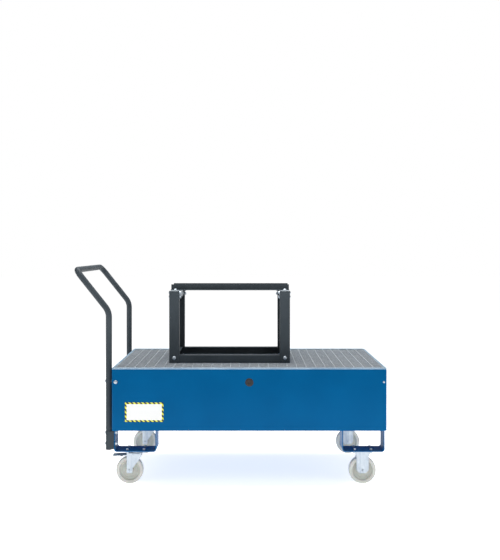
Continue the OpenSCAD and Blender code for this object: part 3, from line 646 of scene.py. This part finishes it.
def swivel_shells(end, size):
    """Swivel fork: two cheeks, the web across their tops, and a crown turned about Z with its race lip."""
    low, high, _ = node_box(f"swivel_fork_{end}")
    pivot = joint_point(f"swivel_{end}")
    web_top = 0.142
    web_low = web_top - PRESSED_PLATE
    lip = high[2]
    axle_x = low[0] + size.rib / 2 - pivot[0]
    front, nose = axle_x + size.rib / 2, 0.024
    left = [(low[2], axle_x - size.rib / 2), (web_top, axle_x - size.rib / 2)]
    right = [(low[2], front), (0.070, front), (0.126, nose), (web_top, nose)]
    pin_hole = 0.00605
    crown = np.array([
        [pin_hole, web_low], [0.0288, web_low], [0.0300, web_low + 0.0010], [0.0300, web_top - 0.0010],
        [0.0288, web_top], [0.0264, web_top], [0.0260, lip - 0.0008], [0.0254, lip], [0.0221, lip],
        [0.0215, lip - 0.0006], [0.0213, web_top], [pin_hole, web_top]])
    inset, corner = 0.0002, 0.003
    plate = np.array([[left[0][1], -size.gap], [nose, -size.gap], [nose, size.gap], [left[0][1], size.gap]])
    web = extrude(round_corners(plate, corner, steps=6) + pivot[:2], 2, web_low + inset, web_top - inset)
    cheeks = cheek_shells(pivot[0], pivot[1], left, right, axle_x, size)
    return [*cheeks, web, lathe(crown, np.array([pivot[0], pivot[1], 0]), steps=64, loop=True, axis=2)]


def rivet_shell(end):
    """Brake pivot: a rod turned about Y, its ends set over into low domes."""
    low, high, centre = node_box(f"brake_pivot_{end}")
    half, r, dome = (high[1] - low[1]) / 2, (high[2] - low[2]) / 2, 0.0008
    side = np.array([[r, half - 0.0002], [1.5 * r, half], [1.45 * r, half + dome / 2], [r, half + dome * 0.9],
                     [0.0002, half + dome]])
    profile = np.concatenate([side[::-1] * [1, -1], side])
    return lathe(profile, centre, steps=32, loop=False)


def tread_shell(end):
    """Serrated tread on a pedal: a triangle wave, one tooth every pitch, turned to the pedal's slope."""
    low, _, centre = node_box(f"brake_pedal_{end}")
    pivot = joint_point(f"brake_{end}")
    fall, run = 0.003, 0.0945
    slope = np.arctan(fall / run)
    pitch, tooth = 0.005, 0.0007
    under, over = 0.0039, 0.0046
    margin, heel, half_y = 0.001, -0.036, 0.0205
    columns, rows = 113, 9
    x = np.linspace(low[0] - pivot[0] + margin, heel, columns)
    y = np.linspace(-half_y, half_y, rows)
    wave = tooth * np.abs(2 * ((x / pitch) % 1) - 1)
    top = np.stack([x[:, None] + 0 * y, y + 0 * x[:, None], (over + wave)[:, None] + 0 * y], axis=-1)
    low_face = top.copy()
    low_face[..., 2] = under
    turn = np.array([[np.cos(slope), 0, -np.sin(slope)], [0, 1, 0], [np.sin(slope), 0, np.cos(slope)]])
    place = np.array([pivot[0], centre[1], pivot[2]])
    return sheet_shell(top @ turn.T + place, low_face @ turn.T + place)


def label_shells():
    """Label: a border frame and a field, each a slab with round corners, the field a little recessed."""
    low, high, _ = node_box("label_plate")
    border, recess = 0.0075, 0.0001

    def rounded(inset, radius):
        x0, x1, z0, z1 = low[0] + inset, high[0] - inset, low[2] + inset, high[2] - inset
        return round_corners([[x0, z0], [x1, z0], [x1, z1], [x0, z1]], radius, steps=6)

    outer, inner = rounded(0, radius=0.003), rounded(border, radius=0.0012)
    frame = np.empty((4, len(outer), 3))
    frame[:, :, [0, 2]] = [outer, inner, inner, outer]
    frame[:, :, 1] = np.array([low[1], low[1], high[1], high[1]])[:, None]
    return skin(frame, loop=True), extrude(inner, 1, low[1] + recess, high[1])


def plug_shell():
    """Plug: a domed head with a dimple, a flat flange and a shank, turned about Y.

    The points are (radius, depth), from the middle of the head outwards and then down the shank.
    """
    low, high, centre = node_box("inspection_plug")
    middle, flange, shank, depth = 0.0002, 0.0190, 0.01395, high[1] - low[1]
    profile = np.array([
        [middle, 0.0011], [0.0060, 0.0011], [0.0068, 0.0003], [0.0080, 0.0], [0.0130, 0.0006],
        [0.0168, 0.0017], [0.0185, 0.0028], [flange, 0.0036], [flange, 0.0040], [shank, 0.0040],
        [shank, 0.0176], [0.0130, depth], [middle, depth]])
    return lathe(profile, np.array([centre[0], low[1], centre[2]]), steps=64, loop=False)


class DOLLY_OT_tray(bpy.types.Operator):
    """Folded sump tray with its hem, ledges and beam"""

    bl_idname = "dolly.tray"
    bl_label = "Sump tray"

    def execute(self, context):
        size = context.scene.dolly.tray
        slot = "blue_powder_coat"
        add_piece("tray_body", [tray_shell(size)], "chassis", slot, ("sump_tray",))
        # The hem's pale coat is a painted highlight.
        add_piece("tray_hem", [hem_shell(size)], "chassis", "hem_powder_coat")
        refinish(slot, "deck_ledges")
        refinish("galvanised_steel", "deck_beam")
        return {"FINISHED"}


class DOLLY_OT_label(bpy.types.Operator):
    """Blank label with a striped border"""

    bl_idname = "dolly.label"
    bl_label = "Label"

    def execute(self, context):
        frame, field = label_shells()
        add_piece("label_border", [frame], "chassis", "label_stripes")
        add_piece("label_field", [field], "chassis", "label_film", ("label_plate",))
        return {"FINISHED"}


class DOLLY_OT_plug(bpy.types.Operator):
    """Rubber plug in the front face"""

    bl_idname = "dolly.plug"
    bl_label = "Plug"

    def execute(self, context):
        add_piece("plug_body", [plug_shell()], "inspection_plug", "black_rubber",
                  ("inspection_plug",))
        return {"FINISHED"}


class DOLLY_OT_deck(bpy.types.Operator):
    """Galvanised grating"""

    bl_idname = "dolly.deck"
    bl_label = "Deck grating"

    def execute(self, context):
        refinish("galvanised_steel", "grating_bearing_bars", "grating_borders")
        # The cross bars' brighter zinc is painted light.
        refinish("rubbed_galvanised", "grating_cross_bars")
        return {"FINISHED"}


class DOLLY_OT_handle(bpy.types.Operator):
    """Bent-tube push handle with its saddles, spacers, caps and bolts, and the tray's corner fasteners"""

    bl_idname = "dolly.handle"
    bl_label = "Push handle"

    def execute(self, context):
        slot = "anthracite_powder_coat"
        shell = handle_shell(context.scene.dolly.handle)
        add_piece("handle_tube", [shell], "chassis", slot, ("push_handle",))
        softened_copy("handle_lower_saddles", "chassis", slot, STRIP_EDGE)
        refinish(slot, "handle_upper_spacers")
        refinish("black_rubber", "handle_end_caps")
        zinc = "zinc_plated_steel"
        for node in ("handle_bolts", "corner_bolts", "corner_rivets"):
            softened_copy(node, "chassis", zinc)
        refinish(zinc, "handle_nuts")
        return {"FINISHED"}


class DOLLY_OT_brackets(bpy.types.Operator):
    """Four foot brackets and the caster bolts"""

    bl_idname = "dolly.brackets"
    bl_label = "Foot brackets"

    def execute(self, context):
        for corner in CORNERS:
            node = f"foot_bracket_{corner}"
            # The brackets' lightened blue is painted light against the shade under the tray.
            add_piece(f"bracket_{corner}", [bracket_shell(node)], "chassis",
                      "bracket_powder_coat", (node,), BAR_EDGE)
        refinish("zinc_plated_steel", "caster_bolts", "caster_nuts")
        return {"FINISHED"}


class DOLLY_OT_wheels(bpy.types.Operator):
    """Four nylon wheels"""

    bl_idname = "dolly.wheels"
    bl_label = "Wheels"

    def execute(self, context):
        for corner in CORNERS:
            node = f"wheel_{corner}"
            low, high, centre = node_box(node)
            half, rim_in = 0.018, 0.047
            radius = (high[2] - low[2]) / 2
            tread = lathe(tread_profile(radius, half, rim_in), centre, steps=96, loop=True)
            web = lathe(centre_profile(half, rim_in), centre, steps=96, loop=True)
            add_piece(f"nylon_tread_{corner}", [tread], node, "cast_nylon", (node,))
            # The centre's darker nylon is painted shade in the recess.
            add_piece(f"nylon_centre_{corner}", [web], node, "moulded_centre")
        return {"FINISHED"}


class DOLLY_OT_forks(bpy.types.Operator):
    """Pressed forks of the fixed and swivel casters, with their axles, races and brakes"""

    bl_idname = "dolly.forks"
    bl_label = "Caster forks"

    def execute(self, context):
        size = context.scene.dolly.caster
        zinc = "zinc_plated_steel"
        for end in ENDS:
            node = f"fixed_fork_{end}"
            low, high, centre = node_box(node)
            top = high[2] - PRESSED_PLATE
            right = [(low[2], 0.016), (0.064, 0.028), (0.126, 0.028), (top, 0.040)]
            left = [(z, -x) for z, x in right]
            cheeks = cheek_shells(centre[0], centre[1], left, right, 0.0, size)
            add_piece(f"pressed_{node}", cheeks + [plate_shell(node)], "chassis", zinc, (node,))
            node = f"swivel_fork_{end}"
            add_piece(f"pressed_{node}", swivel_shells(end, size), f"swivel_{end}", zinc, (node,))
            node = f"brake_pivot_{end}"
            add_piece(f"set_{node}", [rivet_shell(end)], f"swivel_{end}", zinc, (node,))
            softened_copy(f"swivel_axle_pin_{end}", f"swivel_{end}", zinc)
            refinish(zinc, f"swivel_sleeve_{end}")
            softened_copy(f"brake_pedal_{end}", f"brake_{end}", "black_steel", PEDAL_EDGE)
            softened_copy(f"brake_pad_{end}", f"brake_{end}", "black_rubber", STRIP_EDGE)
            add_piece(f"pedal_tread_{end}", [tread_shell(end)], f"brake_{end}", "black_steel")
        softened_copy("fixed_axle_pins", "chassis", zinc)
        softened_copy("swivel_balls", "chassis", "bearing_steel")
        refinish(zinc, "kingpins", "fixed_axle_sleeves", "swivel_top_plates")
        return {"FINISHED"}


class DOLLY_OT_stand(bpy.types.Operator):
    """Bolted drum stand"""

    bl_idname = "dolly.stand"
    bl_label = "Drum stand"

    def execute(self, context):
        grey = "anthracite_powder_coat"
        painted = [f"upright_{corner}" for corner in CORNERS]
        painted += [f"stand_rail_{end}" for end in ENDS] + [f"cradle_rail_{end}" for end in ENDS]
        painted += [f"stand_side_rail_{side}" for side in ("left", "right")]
        for node in painted:
            softened_copy(node, "drum_stand", grey, BAR_EDGE)
        for side in ("left", "right"):
            softened_copy(f"bearer_{side}", "drum_stand", "galvanised_steel", STRIP_EDGE)
        softened_copy("stand_bolts", "drum_stand", "zinc_plated_steel")
        refinish("zinc_plated_steel", "stand_nuts")
        return {"FINISHED"}


class DOLLY_OT_stage(bpy.types.Operator):
    """White floor, soft lights and the camera"""

    bl_idname = "dolly.stage"
    bl_label = "Studio"

    def execute(self, context):
        scene = context.scene
        reach = 30.0
        mesh = bpy.data.meshes.new("studio_floor")
        mesh.from_pydata([(*corner, 0) for corner in (SQUARE * reach).tolist()], [], [(0, 1, 2, 3)])
        mesh.materials.append(finish_of("studio_floor"))
        floor = bpy.data.objects.new("studio_floor", mesh)
        scene.collection.objects.link(floor)

        world = bpy.data.worlds.new("soft_white_room")
        world.use_nodes = True
        tree = world.node_tree
        tree.nodes.clear()
        seen = add_node(tree, "ShaderNodeLightPath").outputs["Is Camera Ray"]
        room_light = 0.34
        strength = add_node(tree, "ShaderNodeMapRange", {
            "Value": seen, "To Min": room_light, "To Max": 1.0})
        back = add_node(tree, "ShaderNodeBackground", {
            "Color": scene.dolly.backdrop, "Strength": strength.outputs["Result"]})
        add_node(tree, "ShaderNodeOutputWorld", {"Surface": back.outputs[0]})
        scene.world = world
        scene.view_settings.view_transform = "Standard"

        middle_x, eye_height, distance = 0.0925, 1.084, 4.480
        target = np.array([middle_x, 0.0, 0.5])
        # Each softbox: its place, the width of its square face and its power in watts.
        for name, place, width, power in (
                ("key_softbox", (-2.6, -2.6, 3.6), 2.2, 26.0),
                ("fill_softbox", (3.2, -2.6, 2.2), 2.6, 16.0),
                ("top_softbox", (0.1, 0.6, 3.6), 3.4, 150.0)):
            lamp = bpy.data.lights.new(name, "AREA")
            lamp.size = width
            lamp.energy = power
            obj = bpy.data.objects.new(name, lamp)
            obj.location = place
            obj.rotation_euler = look_rotation(target - np.array(place))
            scene.collection.objects.link(obj)

        lens = bpy.data.cameras.new("front_camera")
        lens.sensor_width = 36.0
        lens.lens = 57.79
        lens.shift_x = 0.00125
        lens.shift_y = -0.0552
        camera = bpy.data.objects.new("front_camera", lens)
        camera.location = (middle_x, -distance, eye_height)
        camera.rotation_euler = (np.pi / 2, 0, 0)
        scene.collection.objects.link(camera)
        scene.camera = camera
        return {"FINISHED"}


def look_rotation(direction):
    """Euler angles that turn -Z onto a direction: tilt from straight down, then turn about Z."""
    x, y, z = direction / np.linalg.norm(direction)
    return (float(np.arccos(-z)), 0.0, float(np.arctan2(y, x) - np.pi / 2))


OPERATORS = (DOLLY_OT_stage, DOLLY_OT_tray, DOLLY_OT_label, DOLLY_OT_plug, DOLLY_OT_deck, DOLLY_OT_handle,
             DOLLY_OT_brackets, DOLLY_OT_wheels, DOLLY_OT_forks, DOLLY_OT_stand)


class DOLLY_PT_panel(bpy.types.Panel):
    """Lists the dolly's pieces"""

    bl_idname = "DOLLY_PT_panel"
    bl_label = "Drum dolly"
    bl_space_type = "VIEW_3D"
    bl_region_type = "UI"
    bl_category = "Dolly"

    def draw(self, context):
        for group in ("tray", "handle", "caster"):
            settings = getattr(context.scene.dolly, group)
            box = self.layout.box()
            for name in type(settings).__annotations__:
                box.prop(settings, name)
        self.layout.prop(context.scene.dolly, "backdrop")
        for operator in OPERATORS:
            self.layout.operator(operator.bl_idname)


CLASSES = (DollyTraySettings, DollyHandleSettings, DollyCasterSettings, DollySettings, *OPERATORS,
           DOLLY_PT_panel)


def register():
    for cls in CLASSES:
        bpy.utils.register_class(cls)
    bpy.types.Scene.dolly = bpy.props.PointerProperty(type=DollySettings)


def unregister():
    del bpy.types.Scene.dolly
    for cls in reversed(CLASSES):
        bpy.utils.unregister_class(cls)


def main():
    register()
    for operator in OPERATORS:
        getattr(bpy.ops.dolly, operator.bl_idname.split(".")[1])()


if __name__ == "__main__":
    main()
